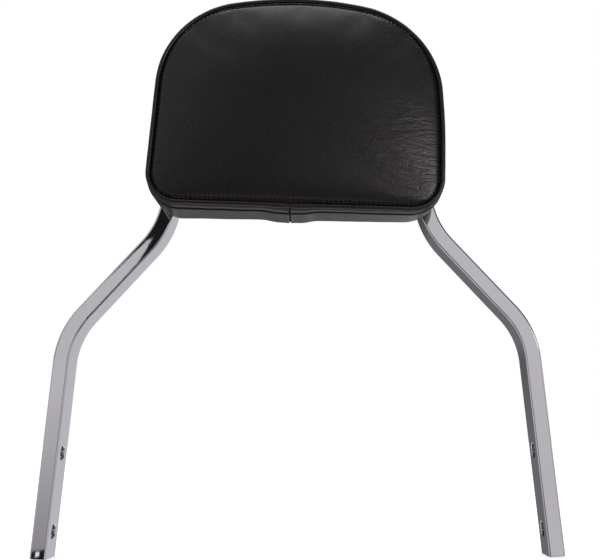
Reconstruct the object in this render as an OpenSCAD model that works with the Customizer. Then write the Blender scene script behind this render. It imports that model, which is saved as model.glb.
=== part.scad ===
// Motorcycle sissy bar: one bent flat bar set edge on, with a sewn backrest pad bolted across its loop.
// The origin is midway between the two lower leg holes. The pad faces -Y, and +Z is up.

/* [Flat bar] */
// Thickness of the bar, seen from the front
bar_w = 12; // [8:0.5:18]
// Depth of the bar from front to back
bar_d = 25; // [18:0.5:40]
// Radius of the eased long edges
bar_ease = 1.4; // [0.5:0.1:3]
// Chamfer round each cut leg end
end_chamfer = 0.8; // [0.3:0.1:2]

/* [Legs] */
// Distance between the leg centre lines at the lower holes
hole_span = 376; // [300:1:460]
// Lean of each lower leg from upright, in degrees
leg_splay = 4.2; // [0:0.1:8]
// Height of the knee corner above the lower holes
knee_h = 146; // [110:1:190]
// Lean of the slanted run between knee and shoulder, in degrees
slant = 41.9; // [30:0.1:50]
// Centre line radius of the knee bends
knee_r = 62; // [40:1:80]
// Leg left below the lower hole
leg_tail = 19; // [14:0.5:30]

/* [Loop] */
// Distance between the centre lines of the uprights behind the pad
upright_span = 199; // [170:1:230]
// Centre line radius of the shoulder bends
shoulder_r = 66; // [40:1:75]
// Height of the top centre line above the shoulder corner
loop_rise = 143; // [130:1:160]
// Centre line radius of the two top corners
loop_r = 50; // [35:1:55]

/* [Leg holes] */
// Diameter of the four leg holes
leg_hole_d = 10.5; // [8:0.1:13]
// Distance between the two holes of a leg
leg_hole_pitch = 57.5; // [40:0.5:80]
// Chamfer round each hole
leg_hole_chamfer = 0.6; // [0.2:0.1:1.5]

/* [Cross straps] */
// Thickness of the straps
strap_t = 5; // [3:0.5:6]
// Height of each strap
strap_h = 22; // [18:0.5:30]
// How far the straps sit behind the front of the bar
strap_setback = 1.5; // [0:0.1:4]
// Leg size of the fillet welds
weld_leg = 4; // [2:0.5:6]

/* [Pad] */
// Width of the pad at its widest, near the bottom
pad_w = 218; // [205:1:240]
// Width of the pad at its shoulders
pad_shoulder_w = 213; // [195:0.5:236]
// Height of the pad
pad_h = 160.8; // [155:0.5:190]
// Radius of the arched top edge
pad_top_r = 270; // [200:5:400]
// Radius of the pad's shoulders
pad_shoulder_r = 68; // [45:1:72]
// Radius of the two bottom corners
pad_corner_r = 24.5; // [16:0.5:30]
// Distance from the front of the bar to the front seam
pad_depth = 50; // [42:1:75]
// How far the front panel swells out of the seam
pad_crown = 9; // [5:0.5:16]
// How far the side band draws in at the back edge
band_tuck = 3; // [1:0.5:5]
// Height of the pad's bottom above the shoulder corner
pad_lift = -0.7; // [-8:0.1:8]

/* [Cover] */
// Thickness of the vinyl
vinyl_t = 1.2; // [0.8:0.1:1.8]
// Diameter of the piping round the front seam
piping_d = 4; // [3:0.1:6]
// Width of the flap turned in behind the board
flap_w = 19; // [14:0.5:24]
// Thickness of the liner over the staples
liner_t = 1; // [0.6:0.1:2]
// Distance of the liner's edge from the pad's outline
liner_inset = 6; // [5:0.5:9]
// Number of staples
staple_count = 18; // [12:1:24]
// Width of a staple
staple_w = 10; // [8:0.5:12]
// Length of a staple's legs
staple_leg = 6; // [4:0.5:8]
// Thickness of the staple wire
staple_wire = 0.6; // [0.4:0.1:0.9]

/* [Base board] */
// Thickness of the board
board_t = 9; // [8:0.5:14]
// Distance of the board's edge from the pad's outline
board_inset = 5; // [5:0.5:9]

/* [Pad fasteners] */
// Distance between the bolts, sideways
bolt_dx = 80; // [60:1:110]
// Distance between the bolts, upwards
bolt_dz = 46; // [36:1:60]
// Height of the lower bolts above the pad's bottom
bolt_low = 36; // [32:1:50]
// Nominal diameter of the pad bolts
bolt_d = 6; // [5:0.5:8]
// Length of the bolts under the head
bolt_len = 20; // [18:0.5:26]
// Width across flats of the bolt heads
bolt_af = 10; // [8:0.5:13]
// Height of the bolt heads
bolt_head_h = 4; // [3:0.5:6]
// Outer diameter of the flat washers
washer_d = 16; // [12:0.5:18]
// Thickness of the flat washers
washer_t = 1.6; // [1:0.1:2.5]
// Outer diameter of the spring washers
spring_d = 10.6; // [9.5:0.1:14]
// Thickness of the spring washers
spring_t = 1.6; // [1:0.1:2.5]
// Width of the split in the spring washers
spring_split = 0.9; // [0.4:0.1:2]
// Outer diameter of the spacers between straps and board
spacer_d = 14; // [12:0.5:18]
// Diameter of the tee nut flanges
tee_flange_d = 19; // [16:0.5:22]
// Thickness of the tee nut flanges
tee_flange_t = 1.2; // [0.8:0.1:2]
// Diameter of the tee nut barrels
tee_barrel_d = 8.2; // [7.6:0.1:11]
// Length of the tee nut barrels with the flange
tee_len = 8; // [6:0.5:8]
// Length of the tee nut prongs
tee_prong = 4; // [2:0.5:6]

/* [Clearances] */
// Gap between soft pieces and what they meet
soft_gap = 0.3; // [0.2:0.05:0.6]
// Gap between a screw thread and its nut, on the radius
thread_gap = 0.05; // [0.02:0.01:0.1]
// Gap round a bolt in washers, spacers and straps, on the radius
bolt_gap = 0.3; // [0.2:0.05:0.6]
// Gap between staples or tee nuts and their holes
press_gap = 0.05; // [0.02:0.01:0.15]

/* [Hidden] */
FASTENERS = [1, 2, 3, 4];

CHROME = [0.72, 0.72, 0.75];
VINYL = [0.12, 0.11, 0.12];
ZINC = [0.62, 0.62, 0.60];
$fn = 48;
cut = 0.5;
slice = 0.01;
weld_gap = 0.05;
ease_steps = 3;
bend_step = 4;

// Corners of the bar's centre line on the right side, as [x, z]
upright_x = upright_span / 2;
inside_x = upright_x - bar_w / 2 - weld_gap;
knee = [hole_span / 2 - tan(leg_splay) * knee_h, knee_h];
shoulder = [upright_x, knee_h + (knee.x - upright_x) / tan(slant)];
loop_top = shoulder.y + loop_rise;
leg_up = [-sin(leg_splay), cos(leg_splay)];
leg_end = [hole_span / 2, 0] - leg_tail * leg_up;

// Layers of the pad along Y, from the bar forwards
bar_front = -bar_d / 2;
strap_front = bar_front + strap_setback;
strap_back = strap_front + strap_t;
liner_back = bar_front - soft_gap;
liner_front = liner_back - liner_t;
flap_back = liner_front - staple_wire;
board_back = flap_back - vinyl_t;
board_front = board_back - board_t;
foam_back = board_front - soft_gap;
seam_y = bar_front - pad_depth;

pad_bottom = shoulder.y + pad_lift;
pad_top = pad_bottom + pad_h;
piping_r = piping_d / 2;
touch_gap = soft_gap / 3;
panel_inset = piping_d + 2 * touch_gap;
band_start = seam_y + piping_r + touch_gap;
crown_reach = 50;
crown_power = 2.5;
crown_steps = 8;
flap_edge = band_tuck + flap_w;
staple_inset = band_tuck + flap_w / 2;
staple_wide = 2 * staple_wire;

strap_z = [pad_bottom + bolt_low, pad_bottom + bolt_low + bolt_dz];
bolt_spots = [for (z = strap_z) for (side = [-1, 1]) [side * bolt_dx / 2, z]];
bolt_hole_r = bolt_d / 2 + bolt_gap;
thread_r = bolt_d / 2 - thread_gap;
tee_r = tee_barrel_d / 2;

// Outline of the pad, drawn in by an inset, as arcs that run clockwise from the top
function arc(centre, r, from, to, steps) =
    [for (i = [0:steps]) let (a = from + (to - from) * i / steps) centre + r * [sin(a), cos(a)]];

function outline(inset) =
    let (
        top_r = pad_top_r - inset,
        shoulder_rad = pad_shoulder_r - inset,
        corner_rad = max(pad_corner_r - inset, 3),
        turn = asin((pad_shoulder_w / 2 - pad_shoulder_r) / (pad_top_r - pad_shoulder_r)),
        top_centre = [0, pad_top - pad_top_r],
        shoulder_centre = top_centre + (pad_top_r - pad_shoulder_r) * [sin(turn), cos(turn)],
        corner_centre = [pad_w / 2 - inset - corner_rad, pad_bottom + inset + corner_rad],
        apart = corner_centre - shoulder_centre,
        lean = atan2(apart.x, -apart.y) - asin((shoulder_rad - corner_rad) / norm(apart)),
        right = concat(
            arc(top_centre, top_r, 0, turn, 5),
            arc(shoulder_centre, shoulder_rad, turn + 6, 90 - lean, 12),
            arc(corner_centre, corner_rad, 90 - lean, 180, 8)
        ),
        count = len(right)
    )
    concat(right, [for (i = [count - 1:-1:1]) [-right[i].x, right[i].y]]);

// How far the front panel has risen at a share t of the way in from its edge
function rise(t) = pow(1 - pow(1 - t, crown_power), 1 / crown_power);

// A point and a direction at a distance along an outline
function walk(points, dist, i = 0) =
    let (a = points[i], b = points[(i + 1) % len(points)], run = norm(b - a))
    dist <= run ? [a + (b - a) * dist / run, atan2(b.y - a.y, b.x - a.x)] : walk(points, dist - run, i + 1);

function outline_length(points, i = 0) =
    i == len(points) ? 0 : norm(points[(i + 1) % len(points)] - points[i]) + outline_length(points, i + 1);

// Stands a flat shape up in the plane of the pad, from y0 back to y1
module upright_plate(y0, y1) {
    translate([0, y1, 0]) rotate([90, 0, 0]) linear_extrude(y1 - y0) children();
}

// A thin slice of the pad's outline at one depth, for the hulls of the soft pieces
module pad_slice(y, inset) {
    upright_plate(y, y + slice) polygon(outline(inset));
}

// A round bar along Y at a place in the pad's plane
module along_y(spot, y0, y1, r) {
    translate([spot.x, y1, spot.y]) rotate([90, 0, 0]) cylinder(r = r, h = y1 - y0);
}

// Cross-section of the bar with eased corners, as [thickness, depth] points
function bar_section(shrink) = [
    for (corner = [0:3])
        let (
            side = [corner == 0 || corner == 3 ? 1 : -1, corner < 2 ? 1 : -1],
            mid = [side.x * (bar_w / 2 - bar_ease), side.y * (bar_d / 2 - bar_ease)]
        )
        for (step = [0:ease_steps])
            let (a = 90 * (corner + step / ease_steps))
            mid + (bar_ease - shrink) * [cos(a), sin(a)]
];

// Rings round a bend whose heading, measured from upright towards +X, goes from a1 to a2
function bend_rings(corner, a1, a2, r) =
    let (
        side = a1 > a2 ? 1 : -1,
        start = corner - r * tan(abs(a2 - a1) / 2) * [sin(a1), cos(a1)],
        centre = start + side * r * [-cos(a1), sin(a1)],
        steps = ceil(abs(a2 - a1) / bend_step)
    )
    [for (i = [0:steps]) let (a = a1 + (a2 - a1) * i / steps) [centre + side * r * [cos(a), -sin(a)], a, 0]];

// One ring across the bar, at a place with a heading, shrunk at the chamfered ends
function ring_points(ring) =
    [for (p = bar_section(ring[2])) [ring[0].x + p.x * cos(ring[1]), p.y, ring[0].y - p.x * sin(ring[1])]];

module bar_shape() {
    right = concat(
        [[leg_end, -leg_splay, end_chamfer], [leg_end + end_chamfer * leg_up, -leg_splay, 0]],
        bend_rings(knee, -leg_splay, -slant, knee_r),
        bend_rings(shoulder, -slant, 0, shoulder_r),
        bend_rings([upright_x, loop_top], 0, -90, loop_r)
    );
    last = len(right) - 1;
    left = [for (i = [last:-1:0]) [[-right[i][0].x, right[i][0].y], -180 - right[i][1], right[i][2]]];
    rings = concat(right, left);
    sides = 4 * (ease_steps + 1);
    points = [for (ring = rings) each ring_points(ring)];
    faces = concat(
        [[for (k = [0:sides - 1]) k]],
        [[for (k = [sides - 1:-1:0]) (len(rings) - 1) * sides + k]],
        [for (i = [0:len(rings) - 2]) for (k = [0:sides - 1]) let (m = (k + 1) % sides)
            [i * sides + k, (i + 1) * sides + k, (i + 1) * sides + m, i * sides + m]]
    );
    polyhedron(points, faces);
}

module leg_hole(height) {
    spot = [hole_span / 2, 0] + height * leg_up;
    wide = leg_hole_d / 2 + leg_hole_chamfer + cut;
    translate([spot.x, 0, spot.y]) rotate([0, 90 - leg_splay, 0]) {
        cylinder(d = leg_hole_d, h = bar_w + 2 * cut, center = true);
        for (face = [0, 180]) rotate([face, 0, 0])
            translate([0, 0, bar_w / 2 - leg_hole_chamfer])
                cylinder(r1 = leg_hole_d / 2, r2 = wide, h = leg_hole_chamfer + cut);
    }
}

module leg_holes() {
    leg_hole(0);
    leg_hole(leg_hole_pitch);
}

module bar_loop() {
    color(CHROME) difference() {
        bar_shape();
        leg_holes();
        mirror([1, 0, 0]) leg_holes();
    }
}

// The space inside the loop
module loop_inside() {
    r = loop_r - bar_w / 2;
    flat = 2 * (inside_x - r);
    translate([-inside_x, shoulder.y]) square([2 * inside_x, loop_rise - loop_r]);
    translate([-flat / 2, shoulder.y]) square([flat, loop_rise - bar_w / 2 - weld_gap]);
    for (side = [-1, 1]) translate([side * flat / 2, loop_top - loop_r]) circle(r, $fn = 96);
}

module strap(z) {
    color(CHROME) difference() {
        upright_plate(strap_front, strap_back) intersection() {
            translate([-inside_x, z - strap_h / 2]) square([2 * inside_x, strap_h]);
            loop_inside();
        }
        for (side = [-1, 1]) along_y([side * bolt_dx / 2, z], strap_front - cut, strap_back + cut, bolt_hole_r);
    }
}

// Fillet welds behind the ends of both straps
module strap_welds() {
    tall = strap_h - weld_leg;
    color(CHROME) for (z = strap_z) for (side = [0, 1]) mirror([side, 0, 0])
        translate([0, 0, z - tall / 2]) linear_extrude(tall)
            polygon([[inside_x, strap_back], [inside_x - weld_leg, strap_back], [inside_x, strap_back + weld_leg]]);
}

module staple_legs(grow) {
    long = staple_leg + vinyl_t;
    for (side = [-1, 1]) translate([side * (staple_w - staple_wide) / 2, -long / 2, 0])
        cube([staple_wide + grow, long + grow, staple_wire + grow], center = true);
}

module staple() {
    translate([0, staple_wire / 2, 0]) cube([staple_w, staple_wire, staple_wide], center = true);
    staple_legs(0);
}

module each_staple() {
    row = outline(staple_inset);
    pitch = outline_length(row) / staple_count;
    for (i = [0:staple_count - 1]) {
        at = walk(row, (i + 0.5) * pitch);
        translate([at[0].x, flap_back, at[0].y]) rotate([0, -at[1], 0]) children();
    }
}

module cover_staples() {
    color(ZINC) each_staple() staple();
}

// The nut is modelled at its own place: flange flush with the board's front, barrel pointing back
module tee_nut_body(grow) {
    along_y([0, 0], board_front, board_front + tee_flange_t + grow, tee_flange_d / 2 + grow);
    along_y([0, 0], board_front, board_front + tee_len + grow, tee_r + grow);
    for (turn = [0:120:240]) rotate([0, turn, 0])
        translate([tee_flange_d / 2 - 2, board_front + (tee_flange_t + tee_prong) / 2, 0])
            cube([1 + grow, tee_flange_t + tee_prong + grow, 3 + grow], center = true);
}

module base_board() {
    color("#1a1a1c") difference() {
        upright_plate(board_front, board_back) polygon(outline(board_inset));
        for (spot = bolt_spots) translate([spot.x, 0, spot.y]) {
            tee_nut_body(press_gap);
            along_y([0, 0], board_front - cut, board_back + cut, tee_r + press_gap);
            along_y([0, 0], board_front - cut, board_front, tee_flange_d / 2 + press_gap);
        }
        each_staple() staple_legs(press_gap);
    }
}

module tee_nut(i) {
    spot = bolt_spots[i - 1];
    color(ZINC) translate([spot.x, 0, spot.y]) difference() {
        tee_nut_body(0);
        along_y([0, 0], board_front - cut, board_front + tee_len + cut, bolt_d / 2);
    }
}

// Swollen front of the pad, drawn in by a skin thickness
module crown_slices(skin) {
    for (i = [0:crown_steps]) {
        t = i / crown_steps;
        pad_slice(seam_y - (pad_crown - skin) * rise(t), panel_inset + skin + t * (crown_reach - skin));
    }
}

module band_slices(skin, y0, y1) {
    pad_slice(y0, touch_gap + skin + 1);
    pad_slice(y0 + 7, touch_gap + skin);
    pad_slice(y1 - 12, touch_gap + skin);
    pad_slice(y1, band_tuck + skin);
}

module foam_core() {
    loose = vinyl_t + soft_gap;
    color("#d9cfae") hull() {
        crown_slices(loose);
        pad_slice(band_start, panel_inset + soft_gap);
        pad_slice(band_start + 12, touch_gap + loose);
        pad_slice(foam_back - slice, touch_gap + loose + 1);
    }
}

module front_panel() {
    color(VINYL) difference() {
        hull() crown_slices(0);
        hull() {
            crown_slices(vinyl_t);
            pad_slice(seam_y + cut, panel_inset + vinyl_t);
        }
    }
}

module side_band() {
    wall_end = board_back - slice;
    color(VINYL) {
        difference() {
            hull() band_slices(0, band_start, wall_end);
            hull() {
                band_slices(vinyl_t, band_start, wall_end);
                pad_slice(band_start - cut, touch_gap + vinyl_t + 1);
                pad_slice(wall_end + cut, band_tuck + vinyl_t);
            }
        }
        difference() {
            upright_plate(board_back, flap_back) difference() {
                polygon(outline(band_tuck));
                polygon(outline(flap_edge));
            }
            each_staple() staple_legs(press_gap);
        }
    }
}

// Round piping on the front seam, swept along the outline
module piping() {
    path = outline(piping_r + touch_gap);
    count = len(path);
    sides = 10;
    points = [
        for (i = [0:count - 1])
            let (
                ahead = path[(i + 1) % count] - path[(i + count - 1) % count],
                out = [ahead.y, -ahead.x] / norm(ahead)
            )
            for (k = [0:sides - 1])
                let (a = 360 * k / sides, p = path[i] - out * piping_r * cos(a))
                [p.x, seam_y + piping_r * sin(a), p.y]
    ];
    faces = [
        for (i = [0:count - 1]) for (k = [0:sides - 1])
            let (n = (i + 1) % count, m = (k + 1) % sides)
            for (tri = [
                [i * sides + k, i * sides + m, n * sides + k],
                [n * sides + k, i * sides + m, n * sides + m]
            ]) tri
    ];
    color(VINYL) polyhedron(points, faces);
}

module back_liner() {
    color(VINYL) upright_plate(liner_front, liner_back) difference() {
        polygon(outline(liner_inset));
        for (spot = bolt_spots) translate(spot) circle(spacer_d / 2 + soft_gap);
    }
}

module ring(i, y0, y1, d) {
    spot = bolt_spots[i - 1];
    difference() {
        along_y(spot, y0, y1, d / 2);
        along_y(spot, y0 - cut, y1 + cut, bolt_hole_r);
    }
}

module pad_spacer(i) {
    color("#222222") ring(i, board_back, strap_front, spacer_d);
}

module flat_washer(i) {
    color(ZINC) ring(i, strap_back, strap_back + washer_t, washer_d);
}

module spring_washer(i) {
    spot = bolt_spots[i - 1];
    from = strap_back + washer_t;
    color(ZINC) difference() {
        ring(i, from, from + spring_t, spring_d);
        translate([spot.x, from + spring_t / 2, spot.y + spring_d / 2])
            rotate([0, 0, 20]) cube([spring_split, 4 * spring_t, spring_d], center = true);
    }
}

module pad_bolt(i) {
    spot = bolt_spots[i - 1];
    under = strap_back + washer_t + spring_t;
    color(ZINC) {
        along_y(spot, under - bolt_len, under + cut, thread_r);
        translate([spot.x, under + bolt_head_h, spot.y]) rotate([90, 0, 0])
            cylinder(d = bolt_af / cos(30), h = bolt_head_h, $fn = 6);
    }
}

bar_loop();
strap(strap_z[0]);  // lower_strap
strap(strap_z[1]);  // upper_strap
strap_welds();
base_board();
foam_core();
front_panel();
side_band();
piping();
back_liner();
cover_staples();
for (i = FASTENERS) {
    tee_nut(i);
    pad_spacer(i);
    flat_washer(i);
    spring_washer(i);
    pad_bolt(i);
}
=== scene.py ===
import math
from contextlib import contextmanager

import bmesh
import bpy
import numpy as np
from bpy.props import FloatProperty, FloatVectorProperty, IntProperty, PointerProperty
from mathutils import Matrix, Vector, noise


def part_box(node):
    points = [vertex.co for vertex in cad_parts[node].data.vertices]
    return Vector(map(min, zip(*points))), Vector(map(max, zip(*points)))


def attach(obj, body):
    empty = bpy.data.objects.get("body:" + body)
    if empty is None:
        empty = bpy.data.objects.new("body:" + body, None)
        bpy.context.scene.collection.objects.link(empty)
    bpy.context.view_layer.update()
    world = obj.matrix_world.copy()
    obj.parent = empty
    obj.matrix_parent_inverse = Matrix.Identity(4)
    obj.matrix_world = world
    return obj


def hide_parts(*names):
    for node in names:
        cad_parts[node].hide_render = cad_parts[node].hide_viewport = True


bl_info = {
    "name": "Sissy Bar Builder",
    "version": (1, 0, 0),
    "blender": (4, 5, 0),
    "location": "View3D > Sidebar > Sissy Bar",
    "description": "Builds a chromed sissy bar with a sewn vinyl backrest pad round its solid model",
    "category": "Object",
}

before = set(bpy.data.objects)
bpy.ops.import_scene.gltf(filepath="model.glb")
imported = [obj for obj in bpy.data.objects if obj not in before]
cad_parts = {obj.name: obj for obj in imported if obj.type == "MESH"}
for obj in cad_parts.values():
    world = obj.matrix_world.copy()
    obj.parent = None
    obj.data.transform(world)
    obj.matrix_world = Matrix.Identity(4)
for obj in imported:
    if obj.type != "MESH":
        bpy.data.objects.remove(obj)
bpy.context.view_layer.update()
MM = 0.001
BAR_LOW, BAR_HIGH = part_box("bar_loop")
BOARD_LOW, BOARD_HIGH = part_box("base_board")
LINER_LOW, LINER_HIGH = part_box("back_liner")
STRAP_LOW, STRAP_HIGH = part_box("lower_strap")
FIXINGS = (1, 2, 3, 4)
INNER_FINISHES = {
    "base_board": "stained_plywood", "cover_staples": "zinc_plate", "tee_nut_1": "zinc_plate",
    "tee_nut_2": "zinc_plate", "tee_nut_3": "zinc_plate", "tee_nut_4": "zinc_plate",
}
BOLT_BORE = 3.3 * MM
BOLT_HEAD = 4 * MM


# Sizes and colours a user can change

def length(name, description, default):
    return FloatProperty(name=name, description=description, default=default * MM, unit="LENGTH", precision=5)


def angle(name, description, default):
    return FloatProperty(name=name, description=description, default=math.radians(default), unit="ROTATION")


def colour(name, description, default):
    return FloatVectorProperty(name=name, description=description, default=default, size=3, subtype="COLOR",
                               min=0, max=1)


class BarSizes(bpy.types.PropertyGroup):
    """Sizes of the bent flat bar and of what is welded to it"""
    thickness: length("Thickness", "Thickness of the bar, seen from the front", 12)
    depth: length("Depth", "Depth of the bar from front to back", 25)
    ease: length("Eased edge", "Radius of the long edges", 1.4)
    end_ease: length("End edge", "Size of the rounding at the cut leg ends", 0.45)
    hole_span: length("Hole span", "Distance between the legs at the lower holes", 376)
    splay: angle("Splay", "Lean of the lower legs", 4.2)
    knee_height: length("Knee height", "Height of the knee corner above the lower holes", 146)
    knee_radius: length("Knee radius", "Centre line radius of the knee bends", 62)
    slant: angle("Slant", "Lean of the run between knee and shoulder", 41.9)
    tail: length("Leg tail", "Leg left below the lower hole", 19)
    upright_span: length("Upright span", "Distance between the uprights behind the pad", 199)
    shoulder_radius: length("Shoulder radius", "Centre line radius of the shoulder bends", 66)
    loop_rise: length("Loop rise", "Height of the top centre line above the shoulder corner", 143)
    loop_radius: length("Loop radius", "Centre line radius of the top corners", 50)
    hole: length("Leg hole", "Diameter of the leg holes", 10.5)
    hole_pitch: length("Hole pitch", "Distance between the two holes of a leg", 57.5)
    hole_chamfer: length("Hole chamfer", "Chamfer round each leg hole", 0.6)
    strap_ease: length("Strap edge", "Rounding of the cross straps", 0.5)
    bead: length("Weld bead", "Radius of the weld beads", 2.9)


class PadSizes(bpy.types.PropertyGroup):
    """Sizes of the sewn backrest pad"""
    width: length("Width", "Width at the widest, near the bottom", 218)
    shoulder_width: length("Shoulder width", "Width at the shoulders", 213)
    height: length("Height", "Height of the pad", 161.985)
    bottom: length("Bottom", "Height of the pad's bottom edge", 230.8)
    top_radius: length("Top radius", "Radius of the arched top", 270)
    shoulder_radius: length("Shoulder radius", "Radius of the shoulders", 68)
    corner_radius: length("Corner radius", "Radius of the bottom corners", 24.5)
    seam: length("Front seam", "Place of the front seam along Y", -62.5)
    crown: length("Crown", "How far the front swells out of the seam", 9)
    edge_power: FloatProperty(name="Edge power", default=0.38, min=0.1, max=1,
                              description="How squarely the swell leaves its seam; less is squarer")
    land: length("Stitch land", "Width of the flat edge that the stitches run in", 1.4)
    panel_inset: length("Panel inset", "Distance of the front panel's edge from the outline", 3.3)
    piping: length("Piping", "Diameter of the round piping", 3.3)
    vinyl: length("Vinyl", "Thickness of the vinyl", 1.2)
    fold: length("Fold", "How far behind the seam the band has its crease", 10.5)
    flap: length("Flap", "Where the turned in flap ends, from the outline", 22)
    liner_inset: length("Liner inset", "Distance of the liner's edge from the outline", 6)
    stitch: length("Stitch", "Distance from stitch to stitch", 3.4)
    seam_offset: length("Band seam", "Place of the band's cross seam along the bottom", -3)
    turn_front: angle("Front turn", "How far the sewn front sits turned clockwise", 2.3)
    turn_back: angle("Back turn", "How far the back edge sits turned clockwise", 1.3)
    back_drop: length("Back drop", "How far the back edge sits lower than the sewn front", 0.9)
    side_fullness: length("Side fullness", "How far the right side of the sewn front stands out", 1.5)
    shoulder_pull: length("Shoulder pull", "How far the right shoulder of the sewn front is drawn in", 2.8)
    shift: length("Shift", "How far the sewn front sits to the right", 2.4)
    cells: IntProperty(name="Cells", default=104,
                       description="Cells across the front panel before it is refined")


class Finishes(bpy.types.PropertyGroup):
    """Colours of the finishes"""
    chrome: colour("Chrome", "Bright plate on the bar and straps", (0.64, 0.635, 0.665))
    vinyl: colour("Vinyl", "Black vinyl of the cover", (0.0058, 0.0052, 0.0053))
    thread: colour("Thread", "Sewing thread", (0.002, 0.002, 0.002))
    liner: colour("Liner", "Cloth on the pad's back", (0.016, 0.016, 0.018))
    zinc: colour("Zinc", "Plate on the fasteners", (0.58, 0.57, 0.54))
    rubber: colour("Rubber", "Spacers between pad and straps", (0.018, 0.018, 0.018))
    board: colour("Board", "Stained plywood", (0.10, 0.065, 0.035))
    foam: colour("Foam", "Foam of the pad", (0.78, 0.70, 0.48))
    floor: colour("Floor", "Studio floor", (0.9, 0.9, 0.9))


class CameraSizes(bpy.types.PropertyGroup):
    """Place and framing of the camera"""
    place: FloatVectorProperty(name="Place", description="Where the camera stands", size=3, unit="LENGTH",
                               default=(0.021, -0.6955, 0.0673), precision=5)
    pitch: angle("Pitch", "How far the camera looks up", 10.27)
    yaw: angle("Yaw", "How far the camera turns to the left", 0.14)
    roll: angle("Roll", "How far the camera leans", 0.35)
    lens: FloatProperty(name="Lens", default=54.18, unit="CAMERA",
                        description="Focal length on a sensor 36 mm wide")
    shift: FloatVectorProperty(name="Shift", size=2, default=(-0.0367, -0.01),
                               description="Lens shift across and up")


# Working in Blender as by hand

def clear_selection():
    if bpy.context.object and bpy.context.object.mode != "OBJECT":
        bpy.ops.object.mode_set(mode="OBJECT")
    bpy.ops.object.select_all(action="DESELECT")


def activate(obj):
    clear_selection()
    obj.select_set(True)
    bpy.context.view_layer.objects.active = obj


def primitive(kind, name, **values):
    """Adds a mesh primitive, names it and puts its place into its mesh."""
    clear_selection()
    getattr(bpy.ops.mesh, f"primitive_{kind}_add")(**values)
    obj = bpy.context.object
    obj.name = obj.data.name = name
    bpy.ops.object.transform_apply(location=True, rotation=True, scale=True)
    return obj


@contextmanager
def edit_mode(obj, kind="VERT"):
    """Edit mode on one object, with everything in it selected."""
    activate(obj)
    bpy.ops.object.mode_set(mode="EDIT")
    bpy.ops.mesh.select_mode(type=kind)
    bpy.ops.mesh.select_all(action="SELECT")
    yield
    bpy.ops.object.mode_set(mode="OBJECT")


def pick_faces(obj, test):
    """Selects only the faces whose middle and normal pass a test."""
    bpy.ops.mesh.select_mode(type="FACE")
    bpy.ops.mesh.select_all(action="DESELECT")
    mesh = bmesh.from_edit_mesh(obj.data)
    for face in mesh.faces:
        if test(face.calc_center_median(), face.normal):
            face.select_set(True)
    bmesh.update_edit_mesh(obj.data)


def extrude(x, y, z):
    bpy.ops.mesh.extrude_region_move(TRANSFORM_OT_translate={"value": (x, y, z)})


def close_up(obj):
    """Merges doubles and turns all faces outwards."""
    with edit_mode(obj):
        bpy.ops.mesh.remove_doubles(threshold=1e-6)
        bpy.ops.mesh.normals_make_consistent(inside=False)


def finish_with(obj, kind, **values):
    """Adds a modifier with these values and applies it."""
    activate(obj)
    bpy.ops.object.modifier_add(type=kind)
    modifier = obj.modifiers[-1]
    for key, value in values.items():
        setattr(modifier, key, value)
    bpy.ops.object.modifier_apply(modifier=modifier.name)


def cut_with(obj, cutter, operation="DIFFERENCE"):
    finish_with(obj, "BOOLEAN", object=cutter, operation=operation, solver="EXACT")
    bpy.data.objects.remove(cutter, do_unlink=True)


def smooth(obj, degrees=40, flat_faces=True):
    """Smooth shading that keeps large flat faces flat."""
    activate(obj)
    bpy.ops.object.shade_smooth_by_angle(angle=math.radians(degrees))
    if flat_faces:
        finish_with(obj, "WEIGHTED_NORMAL", keep_sharp=True, weight=100)


def join(parts, name):
    clear_selection()
    for part in parts:
        part.select_set(True)
    bpy.context.view_layer.objects.active = parts[0]
    bpy.ops.object.join()
    parts[0].name = parts[0].data.name = name
    return parts[0]


def copy_to(obj, name, matrix):
    """A copy with its own mesh, moved in its mesh."""
    made = obj.copy()
    made.data = obj.data.copy()
    made.name = made.data.name = name
    made.data.transform(matrix)
    bpy.context.scene.collection.objects.link(made)
    return made


def own(piece, finish, slot, *nodes):
    """Gives a finished piece its finish and its body, and hides the nodes that it stands for. The slot is not
    used.
    """
    piece.data.materials.clear()
    piece.data.materials.append(bpy.data.materials[finish])
    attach(piece, "root")
    if nodes:
        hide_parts(*nodes)


def vertex_array(obj):
    places = np.empty(len(obj.data.vertices) * 3)
    obj.data.vertices.foreach_get("co", places)
    return places.reshape(-1, 3)


def set_vertices(obj, places):
    obj.data.vertices.foreach_set("co", np.ascontiguousarray(places, dtype=np.float32).ravel())
    obj.data.update()


def bore_cutter(name, radius, depth, chamfer, spot, rotation):
    """A round cutter that widens into a chamfer where it comes out at both ends."""
    clear = 1 * MM
    obj = primitive("cylinder", name, vertices=64, radius=radius, depth=depth - 2 * chamfer)
    with edit_mode(obj, "FACE"):
        for side in (1, -1):
            pick_faces(obj, lambda middle, normal: normal.z * side > 0.9)
            extrude(0, 0, side * chamfer)
            wider = (radius + chamfer) / radius
            bpy.ops.transform.resize(value=(wider, wider, 1), center_override=(0, 0, 0))
            extrude(0, 0, side * clear)
    obj.location, obj.rotation_euler = spot, rotation
    return obj


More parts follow.
